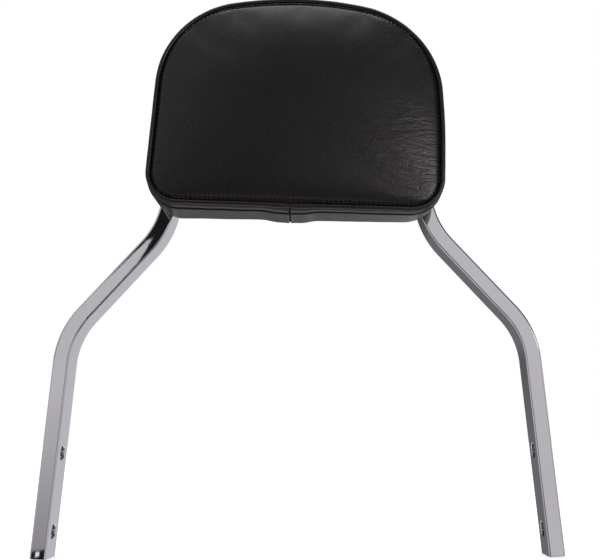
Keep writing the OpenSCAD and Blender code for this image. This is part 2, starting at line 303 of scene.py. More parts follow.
def spun_ring(name, inner, outer, height, ease, sweep=360):
    """A washer or bush round the Z axis, standing on Z = 0, spun from a section with eased corners."""
    middle = ((inner + outer) / 2, 0, height / 2)
    obj = primitive("plane", name, size=1, location=middle, rotation=(math.pi / 2, 0, 0))
    with edit_mode(obj):
        bpy.ops.transform.resize(value=(outer - inner, 1, height), center_override=middle)
        bpy.ops.mesh.bevel(offset=ease, segments=3, affect="VERTICES")
        bpy.ops.mesh.delete(type="ONLY_FACE")
        bpy.ops.mesh.select_mode(type="EDGE")
        bpy.ops.mesh.select_all(action="SELECT")
        bpy.ops.mesh.spin(steps=56, angle=math.radians(sweep), center=(0, 0, 0), axis=(0, 0, 1))
        bpy.ops.mesh.select_all(action="SELECT")
        bpy.ops.mesh.remove_doubles(threshold=1e-6)
        if sweep < 360:
            bpy.ops.mesh.fill_holes(sides=0)
    close_up(obj)
    smooth(obj)
    return obj


# Lines of the bar and of the pad

def bar_points(bar):
    """The right half of the bar's centre line, from the top down: each bend's start, centre and turn."""
    slant, splay = bar.slant, bar.splay
    upright = bar.upright_span / 2
    knee = Vector((bar.hole_span / 2 - math.tan(splay) * bar.knee_height, 0, bar.knee_height))
    shoulder = Vector((upright, 0, knee.z + (knee.x - upright) / math.tan(slant)))
    top = shoulder.z + bar.loop_rise
    up_leg = Vector((-math.sin(splay), 0, math.cos(splay)))
    end = Vector((bar.hole_span / 2, 0, 0)) - up_leg * bar.tail
    down_slant = Vector((math.sin(slant), 0, -math.cos(slant)))
    into_slant = Vector((-math.cos(slant), 0, -math.sin(slant)))
    shoulder_run = bar.shoulder_radius * math.tan(slant / 2)
    knee_run = bar.knee_radius * math.tan((slant - splay) / 2)
    loop_start = Vector((upright - bar.loop_radius, 0, top))
    shoulder_start = shoulder + Vector((0, 0, shoulder_run))
    knee_start = knee - down_slant * knee_run
    bends = [
        (loop_start, loop_start - Vector((0, 0, bar.loop_radius)), math.pi / 2),
        (shoulder_start, shoulder_start + Vector((bar.shoulder_radius, 0, 0)), -slant),
        (knee_start, knee_start + into_slant * bar.knee_radius, slant - splay),
    ]
    return {"top": top, "bends": bends, "end": end, "up_leg": up_leg}


def pad_edge(pad):
    """The outline from the bottom centre round by the right: distances along it, points and normals."""
    apex = np.array([0, pad.bottom + pad.height - pad.top_radius])
    turn = math.asin((pad.shoulder_width / 2 - pad.shoulder_radius) / (pad.top_radius - pad.shoulder_radius))
    shoulder = apex + (pad.top_radius - pad.shoulder_radius) * np.array([math.sin(turn), math.cos(turn)])
    corner = np.array([pad.width / 2 - pad.corner_radius, pad.bottom + pad.corner_radius])
    apart = corner - shoulder
    gap = pad.shoulder_radius - pad.corner_radius
    lean = math.atan2(apart[0], -apart[1]) - math.asin(gap / np.linalg.norm(apart))
    arcs = [
        (corner, pad.corner_radius, math.pi, math.pi / 2 - lean),
        (shoulder, pad.shoulder_radius, math.pi / 2 - lean, turn),
        (apex, pad.top_radius, turn, 0),
    ]
    normals, points = [[(0, -1)]], [[(0, pad.bottom)]]
    for centre, radius, start, end in arcs:
        turns = np.linspace(start, end, 160)
        out = np.column_stack([np.sin(turns), np.cos(turns)])
        normals.append(out)
        points.append(centre + radius * out)
    points, normals = np.vstack(points), np.vstack(normals)
    other = np.array([-1, 1])
    points = np.vstack([points, points[-2::-1] * other])
    normals = np.vstack([normals, normals[-2::-1] * other])
    steps = np.linalg.norm(np.diff(points, axis=0), axis=1)
    along = np.concatenate([[0], np.cumsum(steps)])
    keep = np.concatenate([[True], steps > 1e-9])
    return along[keep], points[keep], normals[keep]


def edge_points(pad, share, inset):
    """Points at shares of the way round the outline, drawn in by an inset, as rows of (x, z)."""
    along, points, normals = pad_edge(pad)
    at = np.mod(share, 1) * along[-1]
    place = np.column_stack([np.interp(at, along, points[:, k]) for k in (0, 1)])
    out = np.column_stack([np.interp(at, along, normals[:, k]) for k in (0, 1)])
    out /= np.linalg.norm(out, axis=1)[:, None]
    return place - out * np.asarray(inset).reshape(-1, 1), out


def lobe(angle, centre, half):
    """A smooth rise and fall round one direction, all in degrees."""
    return np.cos(np.clip((angle - centre) / half, -1, 1) * math.pi / 2) ** 2


def sewn(pad, places):
    """Turns and pulls points as the cover sits: fully at the front seam, less at the back edge."""
    back = BOARD_HIGH.y
    share = np.clip((back - places[:, 1]) / (back - pad.seam), 0, 1.2)
    turn = pad.turn_back + (pad.turn_front - pad.turn_back) * share
    middle = pad.bottom + pad.height / 2
    x, z = places[:, 0], places[:, 2] - middle
    around = np.degrees(np.arctan2(z, x))
    pull = pad.side_fullness * lobe(around, -10, 28) - pad.shoulder_pull * lobe(around, 44, 40)
    near_edge = np.minimum(np.hypot(x, z) / (85 * MM), 1) ** 4
    return np.column_stack([
        x * np.cos(turn) + z * np.sin(turn) + (pad.shift + pull * near_edge) * share,
        places[:, 1],
        middle - x * np.sin(turn) + z * np.cos(turn) - pad.back_drop * (1 - share),
    ])


def patch_points(pad, across, up, inset):
    """Places (x, z) for shares across and up a four sided patch that fills the outline."""
    along, points, _ = pad_edge(pad)
    total = along[-1]
    off_corner = np.abs(points - [pad.width / 2, pad.bottom]).sum(axis=1)
    corner_at = along[np.argmin(off_corner)] / total
    shoulder = np.array([pad.shoulder_width / 2, pad.bottom + pad.height])
    shoulder_at = along[np.argmin(np.linalg.norm(points - shoulder, axis=1))] / total

    def side(start, end, share):
        return edge_points(pad, start + (end - start) * share, inset)[0]

    bottom = side(-corner_at, corner_at, across)
    top = side(1 - shoulder_at, shoulder_at, across)
    right = side(corner_at, shoulder_at, up)
    left = side(1 - corner_at, 1 - shoulder_at, up)
    ends = [side(a, a, np.zeros(1))[0] for a in (1 - corner_at, corner_at, 1 - shoulder_at, shoulder_at)]
    u, v = across[:, None], up[:, None]
    corners = (1 - v) * ((1 - u) * ends[0] + u * ends[1]) + v * ((1 - u) * ends[2] + u * ends[3])
    return (1 - v) * bottom + v * top + (1 - u) * left + u * right - corners


def edge_distance(pad, spots, inset):
    """How far each (x, z) is from the outline drawn in by an inset, and the share round it there."""
    shares = np.linspace(0, 1, 1441)[:-1]
    ring = edge_points(pad, shares, inset)[0]
    nearest, place = np.empty(len(spots)), np.empty(len(spots))
    for start in range(0, len(spots), 4000):
        block = spots[start:start + 4000]
        gaps = np.linalg.norm(block[:, None, :] - ring[None, :, :], axis=2)
        best = np.argmin(gaps, axis=1)
        nearest[start:start + 4000] = gaps[np.arange(len(block)), best]
        place[start:start + 4000] = shares[best]
    return nearest, place


def edge_length(pad):
    return pad_edge(pad)[0][-1]


def panel_shares(share, cells, land, span):
    """Even shares across a grid, moved so that its outermost cells are as narrow as a land."""
    first = land / span
    return np.interp(share * cells, [0, 1, cells - 1, cells], [0, first, 1 - first, 1])


def grid_rings(across, up, columns, rows):
    """How many cells in from the grid's edge each vertex is."""
    column, row = np.rint(across * columns), np.rint(up * rows)
    return np.minimum.reduce([column, columns - column, row, rows - row])


def swell(pad, across, up, columns, rows):
    """The front's swell at even shares across and up: a skin under even pressure, squared at its edge."""
    height = np.zeros((rows + 1, columns + 1))
    for _ in range(6000):
        sides = height[1:-3, 2:-2] + height[3:-1, 2:-2] + height[2:-2, 1:-3] + height[2:-2, 3:-1]
        height[2:-2, 2:-2] = 0.25 * sides + 1
    level = (height / height.max()) ** pad.edge_power
    column, row = np.rint(across * columns).astype(int), np.rint(up * rows).astype(int)
    return pad.crown * level[row, column]


def seam_bulge(pad, at):
    """How far the band and piping stand out near the band's cross seam, at distances along the bottom."""
    bulge, reach, fade = 1.9 * MM, 15 * MM, 2.2 * MM
    return bulge / (1 + np.exp((np.abs(at - pad.seam_offset) - reach) / fade))


def rising(value, reach):
    """A ramp from 0 to 1 over a reach."""
    return np.clip(value / reach, 0, 1)


def hill(spots, middle, reach):
    """A smooth rise from 0 to 1 round a middle, at rows of (x, z). Middle and reach are in millimetres."""
    return np.exp(-(((spots / MM - middle) / reach) ** 2).sum(axis=1))


def at_depth(spots, y):
    """Rows of (x, z) as places at a depth along Y."""
    return np.column_stack([spots[:, 0], np.broadcast_to(y, len(spots)), spots[:, 1]])


def middle_at(low, high, y):
    """The middle of a box across and up, at a depth along Y."""
    return Vector(((low.x + high.x) / 2, y, (low.z + high.z) / 2))


def noise_at(places, scale, seed):
    """Smooth noise from -1 to 1 at each place."""
    shift = Vector((seed * 3.17, seed * 1.31, seed * 7.77))
    return np.array([noise.noise(Vector(p) * scale + shift) for p in places])


def grid_piece(name, across, up, place, closed=False):
    """A grid whose vertices are placed by a function of their shares across and up."""
    obj = primitive("grid", name, x_subdivisions=across, y_subdivisions=up, size=1)
    share = vertex_array(obj)[:, :2] + 0.5
    set_vertices(obj, place(share[:, 0], share[:, 1]))
    if closed:
        with edit_mode(obj):
            bpy.ops.mesh.remove_doubles(threshold=1e-6)
    return obj


VINYL_CLOTH = {
    "quality": 6, "mass": 0.1, "tension_stiffness": 20, "compression_stiffness": 20, "shear_stiffness": 10,
    "bending_stiffness": 2, "use_pressure": True,
}


def swell_cloth(obj, held, pressure, cap, frames=20):
    """Swells a closed skin as cloth, with some vertices held and a cap on how far any moves."""
    start = vertex_array(obj)
    pins = obj.vertex_groups.new(name="held")
    pins.add([int(i) for i in np.flatnonzero(held)], 1.0, "REPLACE")
    activate(obj)
    bpy.ops.object.modifier_add(type="CLOTH")
    cloth = obj.modifiers[-1]
    settings = cloth.settings
    for key, value in VINYL_CLOTH.items():
        setattr(settings, key, value)
    settings.uniform_pressure_force = pressure
    settings.vertex_group_mass = pins.name
    settings.effector_weights.gravity = 0
    cloth.collision_settings.use_collision = False
    cloth.point_cache.frame_start, cloth.point_cache.frame_end = 1, frames
    scene = bpy.context.scene
    for step in range(1, frames + 1):
        scene.frame_set(step)
    bpy.ops.object.modifier_apply(modifier=cloth.name)
    scene.frame_set(1)
    moved = vertex_array(obj) - start
    far = np.linalg.norm(moved, axis=1)
    print("cloth moved", round(far.max() / MM, 2), "mm at most,", round(far.mean() / MM, 2), "mm on average")
    moved *= np.minimum(1, cap / np.maximum(far, 1e-9))[:, None]
    set_vertices(obj, start + moved)
    obj.vertex_groups.clear()


# Finishes

def fill(tree, socket, value):
    """Links a socket to another one, or gives it a value."""
    value = getattr(value, "socket", value)
    if isinstance(value, bpy.types.NodeSocket):
        tree.links.new(value, socket)
    else:
        socket.default_value = value


def node(tree, kind, inputs=None, **properties):
    """Adds a node, sets its properties and fills its inputs."""
    made = tree.nodes.new(kind)
    for key, value in properties.items():
        setattr(made, key, value)
    for key, value in (inputs or {}).items():
        fill(tree, made.inputs[key], value)
    return made


class Value:
    """A number in a node tree. Arithmetic on it adds maths nodes to the tree."""

    def __init__(self, tree, socket):
        self.tree, self.socket = tree, socket

    def maths(self, operation, other=0.0):
        made = node(self.tree, "ShaderNodeMath", {0: self, 1: other}, operation=operation)
        return Value(self.tree, made.outputs[0])

    def __add__(self, other):
        return self.maths("ADD", other)

    def __sub__(self, other):
        return self.maths("SUBTRACT", other)

    def __mul__(self, other):
        return self.maths("MULTIPLY", other)

    def __abs__(self):
        return self.maths("ABSOLUTE")

    def to_range(self, low, high, new_low, new_high, kind="LINEAR"):
        inputs = {"Value": self, "From Min": low, "From Max": high, "To Min": new_low, "To Max": new_high}
        made = node(self.tree, "ShaderNodeMapRange", inputs, interpolation_type=kind)
        return Value(self.tree, made.outputs["Result"])

    def step(self, low, high, new_low=0.0, new_high=1.0):
        return self.to_range(low, high, new_low, new_high, "SMOOTHSTEP")


def axes(tree, vector):
    """The X, Y and Z of a vector."""
    return [Value(tree, socket) for socket in node(tree, "ShaderNodeSeparateXYZ", {0: vector}).outputs]


def mapped(tree, vector, **inputs):
    """A place, turned and stretched."""
    return node(tree, "ShaderNodeMapping", {"Vector": vector, **inputs}).outputs[0]


def texture(tree, kind, vector, properties=None, **inputs):
    """The value of a texture at a place."""
    made = node(tree, f"ShaderNodeTex{kind}", {"Vector": vector, **inputs}, **(properties or {}))
    return Value(tree, made.outputs["Fac"])


def mix_colour(tree, share, a, b):
    return node(tree, "ShaderNodeMix", {0: share, 6: a, 7: b}, data_type="RGBA").outputs[2]


def rgba(values, factor=1.0):
    return (*[v * factor for v in values], 1.0)


def new_group(name, numbers, outputs):
    """A node group that takes a place and numbers: its tree, its inputs and the node of its outputs."""
    tree = bpy.data.node_groups.new(name, "ShaderNodeTree")
    tree.interface.new_socket(name="Vector", in_out="INPUT", socket_type="NodeSocketVector")
    for label, value in numbers.items():
        socket = tree.interface.new_socket(name=label, in_out="INPUT", socket_type="NodeSocketFloat")
        socket.default_value = value
    for label in outputs:
        tree.interface.new_socket(name=label, in_out="OUTPUT", socket_type="NodeSocketFloat")
    return tree, tree.nodes.new("NodeGroupInput").outputs, tree.nodes.new("NodeGroupOutput")


def pebble_group():
    """Small rounded cells with valleys between them."""
    tree, given, made = new_group("Pebble grain", {"Cells per metre": 900.0}, ("Height", "Valleys"))
    warp = node(tree, "ShaderNodeTexNoise", {"Vector": given[0], "Scale": 420.0, "Detail": 2.0})
    bent = node(tree, "ShaderNodeVectorMath", {0: warp.outputs["Color"], 1: (0.0012, 0.0012, 0.0012)},
                operation="MULTIPLY")
    place = node(tree, "ShaderNodeVectorMath", {0: given[0], 1: bent.outputs[0]}, operation="ADD")
    cells = node(tree, "ShaderNodeTexVoronoi", {"Vector": place.outputs[0], "Scale": given[1]},
                 feature="DISTANCE_TO_EDGE")
    valleys = Value(tree, cells.outputs["Distance"]).step(0.0, 0.22, 1.0, 0.0)
    fine = texture(tree, "Noise", given[0], Scale=2600.0, Detail=3.0)
    fill(tree, made.inputs["Height"], valleys * -1.0 + 1.0 + fine * 0.35)
    fill(tree, made.inputs["Valleys"], valleys)


def patch_group():
    """A slow change between a low and a high value."""
    tree, given, made = new_group("Patches", {"Scale": 20.0, "Low": 0.0, "High": 1.0}, ("Value",))
    cloud = texture(tree, "Noise", given[0], Scale=given[1], Detail=4.0, Roughness=0.55)
    fill(tree, made.inputs["Value"], cloud.to_range(0.3, 0.7, given[2], given[3]))


def scratch_group():
    """Thin lines that run mostly one way."""
    tree, given, made = new_group("Fine scratches", {"Scale": 60.0}, ("Lines", "Height"))
    turned = mapped(tree, given[0], Rotation=(0.4, 0.9, 0.3), Scale=(1.0, 14.0, 14.0))
    strands = texture(tree, "Noise", turned, Scale=given[1], Detail=3.0, Distortion=0.3)
    fill(tree, made.inputs["Lines"], strands.step(0.62, 0.7))
    fill(tree, made.inputs["Height"], strands)


def dust_group():
    """Specks of dust where the surface faces up."""
    tree, given, made = new_group("Settled dust", {"Amount": 0.3}, ("Mask",))
    facing = axes(tree, node(tree, "ShaderNodeNewGeometry").outputs["Normal"])[2].step(0.2, 0.95)
    specks = texture(tree, "Noise", given[0], Scale=300.0, Detail=5.0)
    fill(tree, made.inputs["Mask"], facing * specks.to_range(0.42, 0.62, 0.2, 1.0) * given[1])


class Finish:
    """A new material with its shader, which reads the place on the object."""

    def __init__(self, name, inputs=None):
        self.material = bpy.data.materials.new(name)
        self.material.use_nodes = True
        self.tree = self.material.node_tree
        self.shader = self.tree.nodes["Principled BSDF"]
        self.spot = node(self.tree, "ShaderNodeTexCoord").outputs["Object"]
        for socket, value in (inputs or {}).items():
            self.give(socket, value)

    def give(self, socket, value):
        fill(self.tree, self.shader.inputs[socket], value)

    def group(self, name, *numbers):
        """A shared effect with its numbers, as a list of its outputs."""
        made = node(self.tree, "ShaderNodeGroup", node_tree=bpy.data.node_groups[name])
        for socket, value in zip(made.inputs, (self.spot, *numbers)):
            fill(self.tree, socket, value)
        return [Value(self.tree, output) for output in made.outputs]

    def patches(self, scale, low, high):
        return self.group("Patches", scale, low, high)[0]

    def dust(self, amount):
        return self.group("Settled dust", amount)[0]

    def texture(self, kind, **inputs):
        return texture(self.tree, kind, self.spot, **inputs)

    def mix(self, share, a, b):
        return mix_colour(self.tree, share, a, b)

    def bump(self, height, distance, strength, under=None):
        """A normal bent by a height, on top of the bumps under it."""
        inputs = {"Height": height, "Distance": distance, "Strength": strength}
        if under is not None:
            inputs["Normal"] = under
        return node(self.tree, "ShaderNodeBump", inputs).outputs["Normal"]


def chrome_finish(finishes):
    made = Finish("bright_chrome", {"Metallic": 1.0})
    lines, strands = made.group("Fine scratches", 70.0)
    dust = made.dust(0.25)
    made.give("Roughness", made.patches(38.0, 0.012, 0.026) + lines * 0.02 + dust * 0.25)
    tone = made.mix(made.patches(9.0, 0.0, 1.0), rgba(finishes.chrome), rgba(finishes.chrome, 0.94))
    made.give("Base Color", made.mix(dust, tone, (0.5, 0.48, 0.45, 1)))
    ripple = made.bump(made.patches(55.0, 0.0, 1.0), 0.02 * MM, 0.12)
    made.give("Normal", made.bump(strands, 0.003 * MM, 0.08, ripple))


def vinyl_finish(finishes):
    """Pebbled vinyl with faint creases, with painted shade darkening the grain's valleys, and with wrinkles
    where it lies slack at the lower right.
    """
    made = Finish("black_vinyl", {"Specular Tint": (1.0, 0.96, 0.93, 1.0), "Specular IOR Level": 0.36})
    slack_x, slack_z, reach_x, reach_z = 80 * MM, 268 * MM, 34 * MM, 46 * MM
    pebbles, valleys = made.group("Pebble grain", 820.0)
    made.give("Roughness", made.patches(26.0, 0.24, 0.3) + valleys * 0.12)
    # Painted shade: the grain's valleys are coloured darker than the tops of its cells.
    tone = made.mix(valleys, rgba(finishes.vinyl, 1.15), rgba(finishes.vinyl, 0.5))
    made.give("Base Color", made.mix(made.dust(0.1), tone, (0.16, 0.14, 0.12, 1)))
    folded = abs(made.texture("Noise", Scale=130.0, Detail=4.0, Distortion=1.2) - 0.5)
    creased = made.bump(folded.step(0.0, 0.06), 0.08 * MM, 0.25)
    stretched = mapped(made.tree, made.spot, Rotation=(0, 0.16, 0), Scale=(48, 60, 210))
    wavy = texture(made.tree, "Noise", stretched, Scale=1.0, Detail=1.5, Roughness=0.6, Distortion=0.7)
    ridged = abs(wavy - 0.5).to_range(0.0, 0.12, 0.0, 1.0)
    x, _, z = axes(made.tree, made.spot)
    across, up = (x - slack_x) * (1 / reach_x), (z - slack_z) * (1 / reach_z)
    slack = (across * across + up * up).step(0.3, 1.3, 1.0, 0.0)
    wrinkled = made.bump(ridged * slack, 0.1 * MM, 1.0, creased)
    made.give("Normal", made.bump(pebbles, 0.06 * MM, 0.5, wrinkled))


def thread_finish(finishes):
    made = Finish("sewing_thread", {"Roughness": 0.9, "Specular IOR Level": 0.15})
    twist = made.texture("Wave", Scale=900.0, Distortion=2.0)
    made.give("Base Color", made.mix(twist, rgba(finishes.thread, 0.6), rgba(finishes.thread, 2.2)))
    made.give("Normal", made.bump(twist, 0.1 * MM, 0.6))


def liner_finish(finishes):
    made = Finish("liner_cloth", {"Roughness": 0.93, "Specular IOR Level": 0.2})
    x, _, z = axes(made.tree, made.spot)
    threads = 2 * math.pi / (0.9 * MM)
    weave = ((x * threads).maths("SINE") * (z * threads).maths("SINE")).to_range(-1.0, 1.0, 0.0, 1.0)
    tone = made.mix(weave, rgba(finishes.liner, 0.45), rgba(finishes.liner, 1.7))
    made.give("Base Color", made.mix(made.patches(90.0, 0.0, 0.25), tone, (0.05, 0.05, 0.05, 1)))
    made.give("Normal", made.bump(weave, 0.2 * MM, 0.7))


def zinc_finish(finishes):
    made = Finish("zinc_plate", {"Metallic": 1.0})
    lines, strands = made.group("Fine scratches", 180.0)
    patch = made.patches(240.0, 0.2, 0.42)
    made.give("Roughness", patch)
    tone = made.mix(patch, rgba(finishes.zinc, 0.8), (0.66, 0.6, 0.46, 1))
    made.give("Base Color", made.mix(lines, tone, rgba(finishes.zinc, 1.3)))
    made.give("Normal", made.bump(strands, 0.02 * MM, 0.5))


def rubber_finish(finishes):
    made = Finish("spacer_rubber")
    made.give("Base Color", made.mix(made.dust(0.4), rgba(finishes.rubber), (0.12, 0.11, 0.1, 1)))
    made.give("Roughness", made.patches(200.0, 0.6, 0.8))
    made.give("Normal", made.bump(made.group("Pebble grain", 2200.0)[0], 0.04 * MM, 0.4))


def board_finish(finishes):
    made = Finish("stained_plywood")
    plies = mapped(made.tree, made.spot, Scale=(30.0, 700.0, 30.0))
    layers = texture(made.tree, "Wave", plies, {"bands_direction": "Y"}, Scale=0.5, Distortion=1.5,
                     Detail=2.0)
    made.give("Base Color", made.mix(layers, rgba(finishes.board, 0.6), rgba(finishes.board, 1.5)))
    made.give("Roughness", made.patches(60.0, 0.7, 0.9))
    made.give("Normal", made.bump(layers, 0.1 * MM, 0.4))


def foam_finish(finishes):
    made = Finish("open_foam", {"Roughness": 0.95})
    pebbles, valleys = made.group("Pebble grain", 1400.0)
    made.give("Base Color", made.mix(valleys, rgba(finishes.foam, 0.7), rgba(finishes.foam)))
    made.give("Normal", made.bump(pebbles, 0.4 * MM, 0.8))


# Pieces

class SISSYBAR_OT_finishes(bpy.types.Operator):
    """Builds the shared effects and the finishes of all pieces"""
    bl_idname = "sissybar.finishes"
    bl_label = "Finishes"

    def execute(self, context):
        finishes = context.scene.sissy_finishes
        for build in (pebble_group, patch_group, scratch_group, dust_group):
            build()
        for build in (chrome_finish, vinyl_finish, thread_finish, liner_finish, zinc_finish, rubber_finish,
                      board_finish, foam_finish):
            build(finishes)
        return {"FINISHED"}


class SISSYBAR_OT_chrome_bar(bpy.types.Operator):
    """Bends the flat bar into its loop and legs, and bores the leg holes"""
    bl_idname = "sissybar.chrome_bar"
    bl_label = "Chrome bar"

    def execute(self, context):
        bar = context.scene.sissy_bar
        path = bar_points(bar)
        top = (0, 0, path["top"])
        obj = primitive("plane", "chrome_bar", size=1, location=top, rotation=(0, math.pi / 2, 0))
        with edit_mode(obj):
            bpy.ops.transform.resize(value=(1, bar.depth, bar.thickness), center_override=top)
            bpy.ops.mesh.bevel(offset=bar.ease, segments=6, affect="VERTICES")
            bpy.ops.mesh.delete(type="ONLY_FACE")
            bpy.ops.mesh.select_mode(type="EDGE")
            bpy.ops.mesh.select_all(action="SELECT")
            at = Vector(top)
            for start, centre, turn in path["bends"]:
                bpy.ops.mesh.extrude_edges_move(TRANSFORM_OT_translate={"value": start - at})
                steps = math.ceil(abs(math.degrees(turn)) / 1.5)
                bpy.ops.mesh.spin(steps=steps, angle=-turn, center=centre, axis=(0, 1, 0))
                at = centre + Matrix.Rotation(turn, 3, "Y") @ (start - centre)
            bpy.ops.mesh.extrude_edges_move(TRANSFORM_OT_translate={"value": path["end"] - at})
            bpy.ops.mesh.edge_face_add()
            bpy.ops.mesh.bevel(offset=bar.end_ease, segments=3, affect="EDGES")
        finish_with(obj, "MIRROR", use_axis=(True, False, False), merge_threshold=1e-5)
        close_up(obj)
        for side in (1, -1):
            for height in (0, bar.hole_pitch):
                spot = Vector((bar.hole_span / 2, 0, 0)) + path["up_leg"] * height
                spot.x *= side
                rotation = (0, side * (math.pi / 2 - bar.splay), 0)
                cutter = bore_cutter("bore", bar.hole / 2, bar.thickness, bar.hole_chamfer, spot, rotation)
                cut_with(obj, cutter)
        smooth(obj)
        own(obj, "bright_chrome", "chrome", "bar_loop")
        return {"FINISHED"}


class SISSYBAR_OT_cross_straps(bpy.types.Operator):
    """Makes the two cross straps and their weld beads"""
    bl_idname = "sissybar.cross_straps"
    bl_label = "Cross straps"

    def strap(self, bar):
        size, middle = STRAP_HIGH - STRAP_LOW, (STRAP_HIGH + STRAP_LOW) / 2
        obj = primitive("cube", "cross_strap_lower", size=1, location=middle)
        with edit_mode(obj, "EDGE"):
            bpy.ops.transform.resize(value=size, center_override=middle)
            bpy.ops.mesh.bevel(offset=bar.strap_ease, segments=3, affect="EDGES")
        for number in (1, 2):
            low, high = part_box(f"pad_bolt_{number}")
            spot = middle_at(low, high, middle.y)
            cutter = bore_cutter("bolt_bore", BOLT_BORE, size.y, 0.3 * MM, spot, (math.pi / 2, 0, 0))
            cut_with(obj, cutter)
        smooth(obj)
        return obj

    def bead(self, bar):
        """One weld bead along Z, with the ripples of the weld's run."""
        ripples, pitch, flatness = [], 1.75 * MM, 0.62
        for step in range(-5, 6):
            place = (0.12 * MM * (step % 3 - 1), 0.1 * MM * (step % 2), step * pitch)
            ripple = primitive("uv_sphere", "ripple", segments=20, ring_count=12, radius=bar.bead)
            with edit_mode(ripple):
                bpy.ops.transform.resize(value=(1, 1, flatness), center_override=(0, 0, 0))
                bpy.ops.transform.translate(value=place)
            ripples.append(ripple)
        obj = join(ripples, "bead")
        finish_with(obj, "REMESH", mode="VOXEL", voxel_size=0.45 * MM, use_smooth_shade=True)
        finish_with(obj, "SMOOTH", factor=0.5, iterations=2)
        return obj

    def execute(self, context):
        bar = context.scene.sissy_bar
        lower = self.strap(bar)
        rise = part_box("upper_strap")[0].z - STRAP_LOW.z
        upper = copy_to(lower, "cross_strap_upper", Matrix.Translation((0, 0, rise)))
        own(lower, "bright_chrome", "chrome", "lower_strap")
        own(upper, "bright_chrome", "chrome", "upper_strap")
        bead = self.bead(bar)
        beads = []
        for side in (1, -1):
            for height in (0, rise):
                place = Vector((side * STRAP_HIGH.x, STRAP_HIGH.y, (STRAP_LOW.z + STRAP_HIGH.z) / 2 + height))
                beads.append(copy_to(bead, "weld", Matrix.Translation(place)))
        bpy.data.objects.remove(bead, do_unlink=True)
        own(join(beads, "weld_beads"), "bright_chrome", "chrome", "strap_welds")
        return {"FINISHED"}


class SISSYBAR_OT_pad_front(bpy.types.Operator):
    """Sews and swells the front panel of the pad"""
    bl_idname = "sissybar.pad_front"
    bl_label = "Pad front"

    def creases(self, spots):
        """Height of the slack vinyl's creases at rows of (x, z)."""
        flat = at_depth(spots, 0)
        patchy = np.clip(0.6 + 0.9 * noise_at(flat, 70, 2), 0, 1)
        phase = (spots @ [0.25, 1] / MM + 9 * noise_at(flat, 45, 1)) / 5.2
        ripple = 1 - 4 * np.abs(np.mod(phase, 1) - 0.5)
        height = 0.1 * hill(spots, (86, 262), (24, 30)) * patchy * ripple
        faint = 1 - rising(np.abs(noise_at(flat * [1, 1, 1.6], 60, 3)), 0.07)
        return (height - 0.07 * hill(spots, (10, 300), (60, 45)) * faint * patchy) * MM

    def execute(self, context):
        pad = context.scene.sissy_pad
        hem = 3 * MM
        rows = pad.cells * 3 // 4
        obj = primitive("grid", "vinyl_front", x_subdivisions=pad.cells, y_subdivisions=rows, size=1)
        with edit_mode(obj, "FACE"):
            extrude(0, 0, 1)
        share = vertex_array(obj)
        front, across, up = share[:, 2] > 0.5, share[:, 0] + 0.5, share[:, 1] + 0.5
        spots = patch_points(pad, panel_shares(across, pad.cells, pad.land, pad.width),
                             panel_shares(up, rows, pad.land, pad.height), pad.panel_inset)
        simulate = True
        height = swell(pad, across, up, pad.cells, rows) * (0.92 if simulate else 1.0)
        y = np.where(front, pad.seam - height, pad.seam + hem)
        set_vertices(obj, at_depth(spots, y))
        if simulate:
            ring = grid_rings(across, up, pad.cells, rows)
            swell_cloth(obj, ~front | (ring < 2), pressure=4.0, cap=3 * MM)
            slack = hill(spots, (82, 264), (30, 36))
            taut = obj.vertex_groups.new(name="taut")
            for index, weight in enumerate((1 - 0.6 * slack) * rising(ring - 2, 6) * front):
                taut.add([index], float(weight), "REPLACE")
            finish_with(obj, "SMOOTH", factor=0.5, iterations=60, vertex_group="taut")
            obj.vertex_groups.clear()
        with edit_mode(obj, "FACE"):
            pick_faces(obj, lambda middle, normal: middle.y > pad.seam + 0.99 * hem)
            bpy.ops.mesh.delete(type="FACE")
        finish_with(obj, "SUBSURF", levels=1, render_levels=1)
        places = vertex_array(obj)
        spots = places[:, [0, 2]]
        distance, share = edge_distance(pad, spots, pad.panel_inset)
        holes = 0.5 + 0.5 * np.cos(2 * math.pi * share * round(edge_length(pad) / pad.stitch))
        groove = np.exp(-((distance - 0.8 * MM) / (0.8 * MM)) ** 2)
        places[:, 1] += (holes - 0.4) * groove * MM - self.creases(spots) * rising(distance, 8 * MM)
        set_vertices(obj, sewn(pad, places))
        finish_with(obj, "SOLIDIFY", thickness=pad.vinyl, offset=-1.0)
        smooth(obj, 60, flat_faces=False)
        own(obj, "black_vinyl", "vinyl", "front_panel")
        return {"FINISHED"}


class SISSYBAR_OT_pad_foam(bpy.types.Operator):
    """Cuts the foam block that fills the cover"""
    bl_idname = "sissybar.pad_foam"
    bl_label = "Pad foam"

    def execute(self, context):
        pad = context.scene.sissy_pad
        inset, columns, rows = 4.4 * MM, 64, 48
        obj = primitive("grid", "foam_block", x_subdivisions=columns, y_subdivisions=rows, size=1)
        with edit_mode(obj, "FACE"):
            extrude(0, 0, 1)
        share = vertex_array(obj)
        across, up = share[:, 0] + 0.5, share[:, 1] + 0.5
        spots = patch_points(pad, across, up, inset)
        front = pad.seam + 2.2 * MM - swell(pad, across, up, columns, rows) * 0.86
        y = np.where(share[:, 2] > 0.5, front, BOARD_LOW.y - 0.3 * MM)
        set_vertices(obj, sewn(pad, at_depth(spots, y)))
        close_up(obj)
        smooth(obj, 40, flat_faces=False)
        own(obj, "open_foam", "foam", "foam_core")
        return {"FINISHED"}


